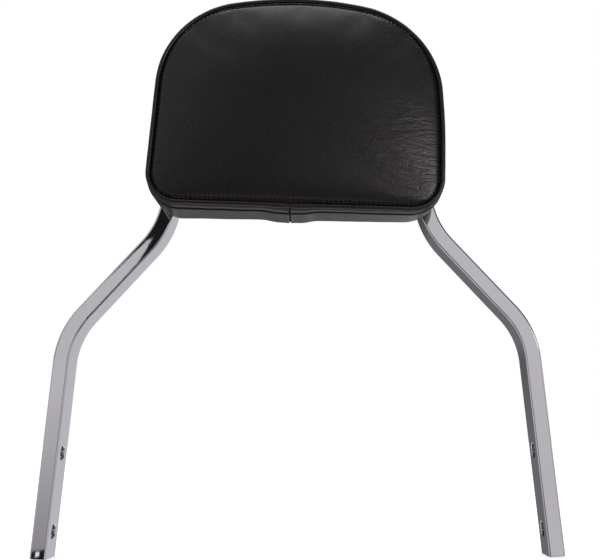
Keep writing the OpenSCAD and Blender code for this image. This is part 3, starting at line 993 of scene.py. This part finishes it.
class SISSYBAR_OT_pad_band(bpy.types.Operator):
    """Wraps the side band round the pad and turns its flap in behind"""
    bl_idname = "sissybar.pad_band"
    bl_label = "Pad side band"

    def profile(self, pad):
        """Rows of (inset, place along Y) in millimetres, from the flap's end to the front seam."""
        seam, flap = pad.seam / MM, BOARD_HIGH.y / MM + 1.2
        fold = seam + pad.fold / MM
        return np.array([
            (pad.flap / MM, flap), (15, flap), (9, flap), (6, flap), (4.6, flap - 0.05), (3.7, flap - 0.5),
            (3.0, flap - 1.5), (2.5, flap - 3.0), (1.3, flap - 6.5), (0.5, flap - 11), (0.1, flap - 16),
            (-0.1, flap - 24), (-0.4, fold + 6), (-0.6, fold + 2.4), (-0.5, fold + 1.1), (0.1, fold + 0.7),
            (1.2, fold + 0.6), (2.8, fold + 0.3), (2.8, fold - 0.1), (1.2, fold - 0.4), (0.5, fold - 0.8),
            (0.15, fold - 1.6), (-0.1, fold - 2.8), (-0.2, fold - 4.2), (0.0, fold - 5.6),
            (0.5, fold - 6.8), (1.4, fold - 7.8), (2.6, fold - 8.5), (3.6, seam + 1.6),
        ])

    def execute(self, context):
        pad = context.scene.sissy_pad
        rows = self.profile(pad)
        total = edge_length(pad)
        even = np.linspace(-0.5, 0.5, int(total / (2.3 * MM)) + 1) * total
        close = np.array([-2.2, -1.5, -1, -0.65, -0.35, 0, 0.35, 0.65, 1, 1.5, 2.2]) * MM + pad.seam_offset
        lines = np.sort(np.concatenate([even[np.abs(even - pad.seam_offset) > 2.6 * MM], close]))

        def place(u, v):
            line = np.linspace(0, 1, len(rows))
            inset = np.interp(v, line, rows[:, 0]) * MM
            y = np.interp(v, line, rows[:, 1]) * MM
            at = lines[np.rint(u * (len(lines) - 1)).astype(int)]
            ring, out = edge_points(pad, at / total, inset)
            back = BOARD_HIGH.y
            free = rising(y - pad.seam, 4 * MM) * rising(back + 1 * MM - y, 5 * MM)
            flat = at_depth(ring, y)
            waves = 0.45 * noise_at(flat, 38, 4) + 0.2 * noise_at(flat, 95, 5)
            lump = seam_bulge(pad, at) * np.maximum(rising(y - pad.seam, 9 * MM), 0.25)
            near = (at - pad.seam_offset) / MM
            groove = 1.5 * np.exp(-(near / 0.42) ** 2) - 0.3 * np.exp(-((np.abs(near) - 1.5) / 0.8) ** 2)
            moved = (waves - groove) * MM * free + lump * rising(back + 2 * MM - y, 3 * MM)
            return sewn(pad, at_depth(ring + out * moved[:, None], y))

        obj = grid_piece("vinyl_band", len(lines) - 1, len(rows) - 1, place, closed=True)
        finish_with(obj, "SUBSURF", levels=1, render_levels=1)
        finish_with(obj, "SOLIDIFY", thickness=pad.vinyl, offset=-1.0)
        smooth(obj, 60, flat_faces=False)
        own(obj, "black_vinyl", "vinyl", "side_band")
        return {"FINISHED"}


class SISSYBAR_OT_pad_piping(bpy.types.Operator):
    """Sews the round piping and its stitches into the front seam"""
    bl_idname = "sissybar.pad_piping"
    bl_label = "Pad piping"

    def piping(self, pad):
        total, radius = edge_length(pad), pad.piping / 2

        def place(u, v):
            turn = 2 * math.pi * v
            centre, out = edge_points(pad, u, radius + 0.1 * MM)
            at = (np.mod(u + 0.5, 1) - 0.5) * total
            flat = at_depth(centre, 0)
            drawn = 0.03 * np.cos(2 * math.pi * u * total / pad.stitch)
            wide = radius * (1 + 0.05 * noise_at(flat, 120, 6) + drawn)
            lap = np.exp(-((at - pad.seam_offset + 11 * MM) / (2.2 * MM)) ** 2)
            wide = wide * (1 - 0.22 * np.exp(-((at - pad.seam_offset) / (0.9 * MM)) ** 2) + 0.12 * lap)
            drop = 0.35 * seam_bulge(pad, at)
            ring = centre + out * (wide * np.cos(turn) + drop)[:, None]
            y = pad.seam + wide * np.sin(turn) + 0.15 * MM * noise_at(flat, 50, 7)
            return sewn(pad, at_depth(ring, y))

        obj = grid_piece("vinyl_piping", 540, 14, place, closed=True)
        close_up(obj)
        smooth(obj, 80, flat_faces=False)
        own(obj, "black_vinyl", "vinyl", "piping")

    def stitches(self, pad):
        """Thread stitches in the groove beside the piping, one modelled and the rest copied."""
        first = primitive("cylinder", "stitch", vertices=8, radius=0.45 * MM, depth=1.7 * MM,
                          rotation=(0, math.pi / 2, 0))
        with edit_mode(first, "FACE"):
            bpy.ops.mesh.select_all(action="DESELECT")
            pick_faces(first, lambda middle, normal: abs(normal.x) > 0.9)
            bpy.ops.mesh.inset(thickness=0.14 * MM)
            bpy.ops.transform.resize(value=(1.14, 1, 1), center_override=(0, 0, 0))
        count = round(edge_length(pad) / pad.stitch)
        shares = np.arange(count) / count
        spots, _ = edge_points(pad, shares, pad.panel_inset + 0.75 * MM)
        places = sewn(pad, at_depth(spots, pad.seam))
        ways = np.roll(places, -1, axis=0) - np.roll(places, 1, axis=0)
        panel = bpy.data.objects["vinyl_front"]
        copies = []
        for place, way in zip(places, ways):
            _, spot, normal, _ = panel.closest_point_on_mesh(Vector(place) - Vector((0, 3 * MM, 0)))
            side = normal.cross(Vector(way)).normalized()
            turn = Matrix((side.cross(normal), side, normal)).transposed().to_4x4()
            copies.append(copy_to(first, "stitch", Matrix.Translation(spot + normal * 0.2 * MM) @ turn))
        bpy.data.objects.remove(first, do_unlink=True)
        obj = join(copies, "seam_stitches")
        smooth(obj, 50, flat_faces=False)
        own(obj, "sewing_thread", "vinyl")

    def execute(self, context):
        pad = context.scene.sissy_pad
        self.piping(pad)
        self.stitches(pad)
        return {"FINISHED"}


class SISSYBAR_OT_pad_back(bpy.types.Operator):
    """Lays the cloth liner over the pad's back"""
    bl_idname = "sissybar.pad_back"
    bl_label = "Pad back"

    def execute(self, context):
        pad = context.scene.sissy_pad
        thick = LINER_HIGH.y - LINER_LOW.y

        def place(u, v):
            spots = patch_points(pad, 1 - u, v, pad.liner_inset)
            edge, _ = edge_distance(pad, spots, pad.liner_inset)
            ease = rising(edge, 2 * MM)
            waves = 0.12 * noise_at(at_depth(spots, 0), 30, 8) * ease
            y = LINER_HIGH.y - (0.35 * (1 - ease) ** 2 + 0.12) * MM + waves * MM
            return at_depth(spots, y)

        obj = grid_piece("liner_cloth", 90, 68, place)
        finish_with(obj, "SOLIDIFY", thickness=thick * 0.85, offset=-1.0)
        for number in FIXINGS:
            low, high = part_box(f"pad_spacer_{number}")
            spot = middle_at(low, high, LINER_HIGH.y)
            radius = (high.x - low.x) / 2 + 0.3 * MM
            cut_with(obj, bore_cutter("liner_hole", radius, 4 * MM, 0.2 * MM, spot, (math.pi / 2, 0, 0)))
        smooth(obj, 50, flat_faces=False)
        own(obj, "liner_cloth", "liner", "back_liner")
        return {"FINISHED"}


class SISSYBAR_OT_pad_fixings(bpy.types.Operator):
    """Makes the bolts, washers and spacers that hold the pad on its straps"""
    bl_idname = "sissybar.pad_fixings"
    bl_label = "Pad fixings"

    def bolt(self):
        """A hexagon head with its corners turned off, and a shank with a chamfered tip, head up along Z."""
        flats, shank, long = 10 * MM, 2.95 * MM, 20 * MM
        corner = flats / math.sqrt(3)
        head = {"depth": BOLT_HEAD, "location": (0, 0, BOLT_HEAD / 2)}
        obj = primitive("cylinder", "hex_bolt", vertices=6, radius=corner, **head)
        turned = primitive("cylinder", "turned", vertices=64, radius=corner * 1.01, **head)
        with edit_mode(turned, "FACE"):
            pick_faces(turned, lambda middle, normal: normal.z > 0.9)
            bpy.ops.mesh.bevel(offset=0.75 * MM, segments=3, affect="EDGES")
        cut_with(obj, turned, "INTERSECT")
        with edit_mode(obj, "FACE"):
            pick_faces(obj, lambda middle, normal: normal.z > 0.9 and middle.z > BOLT_HEAD * 0.9)
            bpy.ops.mesh.inset(thickness=0.5 * MM)
            bpy.ops.transform.translate(value=(0, 0, -0.15 * MM))
        rod = primitive("cylinder", "shank", vertices=40, radius=shank, depth=long,
                        location=(0, 0, -long / 2))
        with edit_mode(rod, "FACE"):
            pick_faces(rod, lambda middle, normal: normal.z < -0.9)
            bpy.ops.mesh.bevel(offset=0.6 * MM, segments=2, affect="EDGES")
        obj = join([obj, rod], "hex_bolt")
        smooth(obj, 25)
        return obj

    def execute(self, context):
        bolt = self.bolt()
        washer = spun_ring("washer", BOLT_BORE, 8 * MM, 1.6 * MM, 0.2 * MM)
        split = spun_ring("split_washer", BOLT_BORE, 5.3 * MM, 1.6 * MM, 0.15 * MM, 350)
        spacer = spun_ring("spacer", BOLT_BORE, 7 * MM, 4.6 * MM, 0.5 * MM)
        kinds = (
            ("pad_bolt", bolt, "zinc_plate", "zinc", 0),
            ("flat_washer", washer, "zinc_plate", "zinc", 0),
            ("spring_washer", split, "zinc_plate", "zinc", 95),
            ("pad_spacer", spacer, "spacer_rubber", "rubber", 0),
        )
        to_back = Matrix.Rotation(-math.pi / 2, 4, "X")
        for kind, model, finish, slot, turn in kinds:
            for number in FIXINGS:
                low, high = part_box(f"{kind}_{number}")
                foot = high.y - BOLT_HEAD if kind == "pad_bolt" else low.y
                place = Matrix.Translation(middle_at(low, high, foot))
                spin = Matrix.Rotation(math.radians(turn + 37 * number), 4, "Z")
                made = copy_to(model, f"{kind}_made_{number}", place @ to_back @ spin)
                own(made, finish, slot, f"{kind}_{number}")
            bpy.data.objects.remove(model, do_unlink=True)
        return {"FINISHED"}


class SISSYBAR_OT_inner_parts(bpy.types.Operator):
    """Gives the board, nuts and staples inside the pad their finishes"""
    bl_idname = "sissybar.inner_parts"
    bl_label = "Inner parts"

    def execute(self, context):
        for name, finish in INNER_FINISHES.items():
            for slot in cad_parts[name].material_slots:
                slot.material = bpy.data.materials[finish]
        return {"FINISHED"}


def window(value, low, high, fade):
    """Light between two angles in degrees, with a soft edge at each."""
    low, high, fade = math.radians(low), math.radians(high), math.radians(fade)
    return value.step(low - fade, low + fade) * value.step(high - fade, high + fade, 1.0, 0.0)


def below(value, limit, fade=math.radians(0.12)):
    return (value - limit).step(-fade, fade, 1.0, 0.0)


# Compass 0 lies straight in front of the pad, and 90 at the right of the picture. A card of light has its west
# and east edge and their fade, its lower and upper edge and their fade, all in degrees, and its power.
ROOM_LIGHT = 0.015
FRONT_TINT, BACK_TINT, LOW_TINT = (1, 0.968, 0.995, 1), (0.965, 0.965, 1.02, 1), (1, 0.93, 0.89, 1)
CARDS = (
    (-200, 200, 5, 55, 120, 9, 2.0),
    (5.2, 20, 0.8, -14, 24, 1.5, 0.73),
    (20, 52, 3, -14, 13, 3, 0.5),
    (26, 38, 2, 8.5, 14, 1, 4.0),
    (52, 108, 6, -30, 16, 6, 0.6),
    (-17.45, -16.9, 0.05, -6.72, -6.5, 0.04, 1.2),
    (-112, -34, 6, -40, 9, 3, 0.6),
    (-112, -14.3, 0.3, 10.2, 45, 0.3, 0.6),
    (112, 176, 4, -70, 40, 12, 0.66),
    (176, 200, 4, -70, 40, 12, 0.075),
    (176, 200, 4, -30, 2, 6, 0.1),
    (-200, -112, 12, -70, 40, 12, 0.075),
    (-200, -112, 12, -30, 2, 6, 0.1),
    (-200, -150, 6, -70, -15, 2, 0.5),
    (172, 200, 6, -70, -15, 2, 0.5),
    (-200, 200, 5, -120, -35, 12, 0.5),
)


class SISSYBAR_OT_studio(bpy.types.Operator):
    """Sets up the floor, the soft light and the camera"""
    bl_idname = "sissybar.studio"
    bl_label = "Studio"

    def floor(self, finishes):
        obj = primitive("circle", "studio_floor", vertices=96, radius=12, fill_type="NGON",
                        location=(0, 0, BAR_LOW.z - 0.2 * MM))
        colour = rgba(finishes.floor)
        made = Finish("studio_floor", {"Roughness": 0.9, "Specular IOR Level": 0.1, "Base Color": colour,
                                       "Emission Color": colour, "Emission Strength": 0.5})
        obj.data.materials.append(made.material)
        obj.visible_glossy = False

    def put(self, name, data, matrix):
        """Puts a camera or a light in its place."""
        obj = bpy.data.objects.new(name, data)
        bpy.context.scene.collection.objects.link(obj)
        obj.matrix_world = matrix
        return obj

    def camera(self, view):
        data = bpy.data.cameras.new("camera")
        data.sensor_width, data.lens = 36, view.lens
        data.shift_x, data.shift_y = view.shift
        data.clip_start, data.clip_end = 0.01, 100
        turn = Matrix.Rotation(view.yaw, 4, "Z") @ Matrix.Rotation(view.pitch, 4, "X")
        turn = turn @ Matrix.Rotation(view.roll, 4, "Y") @ Matrix.Rotation(math.pi / 2, 4, "X")
        bpy.context.scene.camera = self.put("camera", data, Matrix.Translation(view.place) @ turn)

    def softbox(self, name, place, target, size, power):
        data = bpy.data.lights.new(name, "AREA")
        data.shape, data.size, data.size_y, data.energy = "RECTANGLE", size[0], size[1], power
        turn = (Vector(target) - Vector(place)).to_track_quat("-Z", "Y").to_matrix().to_4x4()
        return self.put(name, data, Matrix.Translation(place) @ turn)

    def slanting_card(self, compass, height):
        """The light at the front left, which runs out upwards in a slanting point."""
        lower_side = (height - math.radians(7)).maths("MAXIMUM") * 0.85 + math.radians(-14.45)
        upper_side = height * 0.226 + math.radians(-13.85)
        roof = (compass * 0.936 + math.radians(23.35)).maths("MAXIMUM", math.radians(6))
        roof = roof.maths("MINIMUM", math.radians(12.4))
        card = window(compass, -34, 60, 6) * below(compass, lower_side) * below(compass, upper_side)
        card = card * below(height, roof) * window(height, -6.42, 60, 0.07)
        return card * height.to_range(math.radians(-8), math.radians(3), 0.31, 0.72)

    def surroundings(self):
        """A soft room, seen only in reflections. The camera itself sees plain white."""
        world = bpy.data.worlds.new("studio")
        bpy.context.scene.world = world
        world.use_nodes = True
        tree, background = world.node_tree, world.node_tree.nodes["Background"]
        x, y, z = axes(tree, node(tree, "ShaderNodeTexCoord").outputs["Generated"])
        compass, height = x.maths("ARCTAN2", y * -1.0), z.maths("ARCSINE")
        light = ROOM_LIGHT
        for west, east, side_fade, low, high, fade, power in CARDS:
            card = window(compass, west, east, side_fade) * window(height, low, high, fade)
            light = card * power + light
        light = light + self.slanting_card(compass, height)
        seen = node(tree, "ShaderNodeLightPath").outputs["Is Camera Ray"]
        bright = node(tree, "ShaderNodeMix", {0: seen, 2: light, 3: 1.0}, data_type="FLOAT").outputs[0]
        fill(tree, background.inputs["Strength"], bright)
        back = abs(compass).to_range(math.radians(95), math.radians(115), 0.0, 1.0)
        tint = mix_colour(tree, back, FRONT_TINT, BACK_TINT)
        deep = height.to_range(math.radians(-30), math.radians(-14), 1.0, 0.0)
        tint = mix_colour(tree, deep, tint, LOW_TINT)
        fill(tree, background.inputs["Color"], mix_colour(tree, seen, tint, (1, 1, 1, 1)))

    def execute(self, context):
        self.floor(context.scene.sissy_finishes)
        self.camera(context.scene.sissy_camera)
        self.surroundings()
        self.softbox("top_softbox", place=(0.1, -0.3, 1.9), target=(0, 0, 0.2), size=(1.6, 1.6), power=9)
        glow = self.softbox("right_softbox", place=(0.56, -0.8, 0.28), target=(0.08, -0.07, 0.27),
                            size=(0.34, 0.24), power=2.6)
        lit = bpy.data.collections.new("lit_pad")
        for name in ("vinyl_front", "vinyl_piping", "seam_stitches"):
            lit.objects.link(bpy.data.objects[name])
        glow.light_linking.receiver_collection = lit
        context.scene.view_settings.view_transform = "Standard"
        return {"FINISHED"}


class SISSYBAR_PT_builder(bpy.types.Panel):
    """Lists the pieces of the sissy bar in the order they are made"""
    bl_label = "Sissy Bar"
    bl_idname = "SISSYBAR_PT_builder"
    bl_space_type = "VIEW_3D"
    bl_region_type = "UI"
    bl_category = "Sissy Bar"

    def draw(self, context):
        for operator in OPERATORS:
            self.layout.operator(operator.bl_idname)
        for group in SETTINGS:
            box = self.layout.box()
            for name in SETTINGS[group].__annotations__:
                box.prop(getattr(context.scene, group), name)


OPERATORS = (
    SISSYBAR_OT_finishes, SISSYBAR_OT_chrome_bar, SISSYBAR_OT_cross_straps, SISSYBAR_OT_pad_foam,
    SISSYBAR_OT_pad_front, SISSYBAR_OT_pad_band, SISSYBAR_OT_pad_piping, SISSYBAR_OT_pad_back,
    SISSYBAR_OT_pad_fixings, SISSYBAR_OT_inner_parts, SISSYBAR_OT_studio,
)
SETTINGS = {
    "sissy_bar": BarSizes, "sissy_pad": PadSizes, "sissy_finishes": Finishes, "sissy_camera": CameraSizes,
}


def register():
    for group, kind in SETTINGS.items():
        bpy.utils.register_class(kind)
        setattr(bpy.types.Scene, group, PointerProperty(type=kind))
    for kind in (*OPERATORS, SISSYBAR_PT_builder):
        bpy.utils.register_class(kind)


def unregister():
    for kind in (SISSYBAR_PT_builder, *reversed(OPERATORS)):
        bpy.utils.unregister_class(kind)
    for group, kind in SETTINGS.items():
        delattr(bpy.types.Scene, group)
        bpy.utils.unregister_class(kind)


def main():
    register()
    bpy.ops.sissybar.finishes()
    bpy.ops.sissybar.chrome_bar()
    bpy.ops.sissybar.cross_straps()
    bpy.ops.sissybar.pad_foam()
    bpy.ops.sissybar.pad_front()
    bpy.ops.sissybar.pad_band()
    bpy.ops.sissybar.pad_piping()
    bpy.ops.sissybar.pad_back()
    bpy.ops.sissybar.pad_fixings()
    bpy.ops.sissybar.inner_parts()
    bpy.ops.sissybar.studio()


if __name__ == "__main__":
    main()
